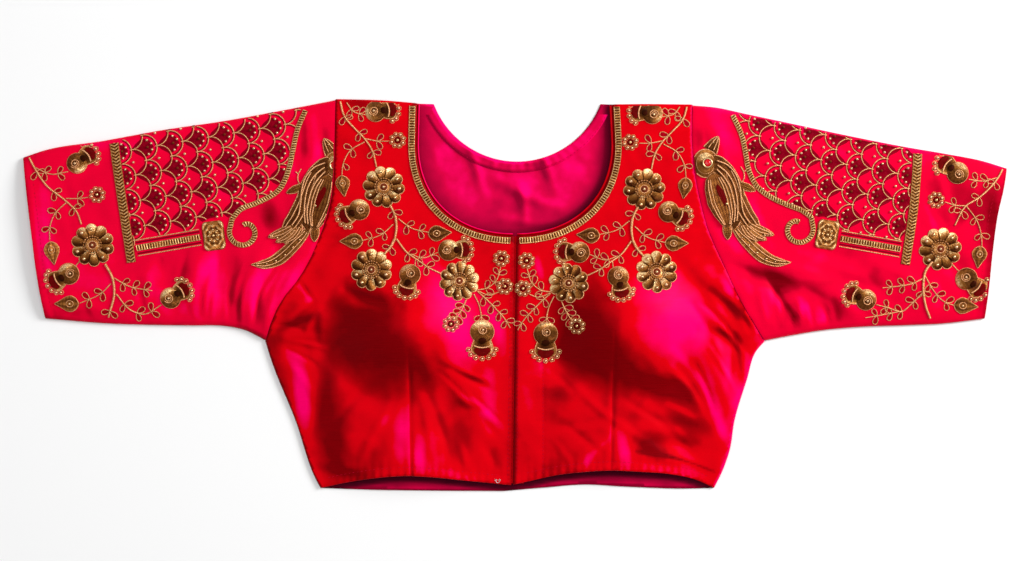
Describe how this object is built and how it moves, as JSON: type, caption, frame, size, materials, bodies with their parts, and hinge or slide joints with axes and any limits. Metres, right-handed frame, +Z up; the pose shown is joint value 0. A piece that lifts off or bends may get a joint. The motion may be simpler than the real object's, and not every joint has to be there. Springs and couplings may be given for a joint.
{
  "type": "choli blouse",
  "caption": "Padded satin choli blouse laid flat, front up: round neck, hooked front opening, elbow-length sleeves, raised gold embroidery of flowers, buds and parrots.",
  "frame": {"origin": "on the table, under the middle of the laid-out blouse's bounding box", "axes": "+X across the blouse towards the wearer's left sleeve, +Y from the hem to the neck, +Z up off the table"},
  "size_m": [0.9331, 0.3713, 0.0349],
  "materials": {
    "satin": "shiny red satin, magenta where it catches the light",
    "satin_back": "red satin outside, deep pink lining inside",
    "neck_binding": "pink-red satin binding",
    "gold_embroidery": "antique gold metal thread, coiled wire and sequins"
  },
  "bodies": {
    "root": {"back": "satin_back", "bud_front_left_1": "gold_embroidery", "bud_front_left_2": "gold_embroidery", "bud_front_left_3": "gold_embroidery", "bud_front_left_4": "gold_embroidery", "bud_front_left_5": "gold_embroidery", "bud_front_right_1": "gold_embroidery", "bud_front_right_2": "gold_embroidery", "bud_front_right_3": "gold_embroidery", "bud_front_right_4": "gold_embroidery", "bud_front_right_5": "gold_embroidery", "bud_sleeve_left_1": "gold_embroidery", "bud_sleeve_left_2": "gold_embroidery", "bud_sleeve_left_3": "gold_embroidery", "bud_sleeve_right_1": "gold_embroidery", "bud_sleeve_right_2": "gold_embroidery", "bud_sleeve_right_3": "gold_embroidery", "cuff_band_left": "gold_embroidery", "cuff_band_right": "gold_embroidery", "flower_front_left_1": "gold_embroidery", "flower_front_left_2": "gold_embroidery", "flower_front_left_3": "gold_embroidery", "flower_front_right_1": "gold_embroidery", "flower_front_right_2": "gold_embroidery", "flower_front_right_3": "gold_embroidery", "flower_sleeve_left_1": "gold_embroidery", "flower_sleeve_right_1": "gold_embroidery", "front_left": "satin", "front_right": "satin", "leaf_front_left_1": "gold_embroidery", "leaf_front_left_2": "gold_embroidery", "leaf_front_left_3": "gold_embroidery", "leaf_front_right_1": "gold_embroidery", "leaf_front_right_2": "gold_embroidery", "leaf_front_right_3": "gold_embroidery", "leaf_sleeve_left_1": "gold_embroidery", "leaf_sleeve_left_2": "gold_embroidery", "leaf_sleeve_right_1": "gold_embroidery", "leaf_sleeve_right_2": "gold_embroidery", "neck_braid_left": "gold_embroidery", "neck_braid_right": "gold_embroidery", "neck_facing_back": "neck_binding", "neck_piping_left": "neck_binding", "neck_piping_right": "neck_binding", "panel_bar_left": "gold_embroidery", "panel_bar_right": "gold_embroidery", "panel_border_left": "gold_embroidery", "panel_border_right": "gold_embroidery", "panel_square_left": "gold_embroidery", "panel_square_right": "gold_embroidery", "parrot_left": "gold_embroidery", "parrot_right": "gold_embroidery", "sleeve_left": "satin", "sleeve_right": "satin", "underlap": "satin"}
  },
  "joints": []
}
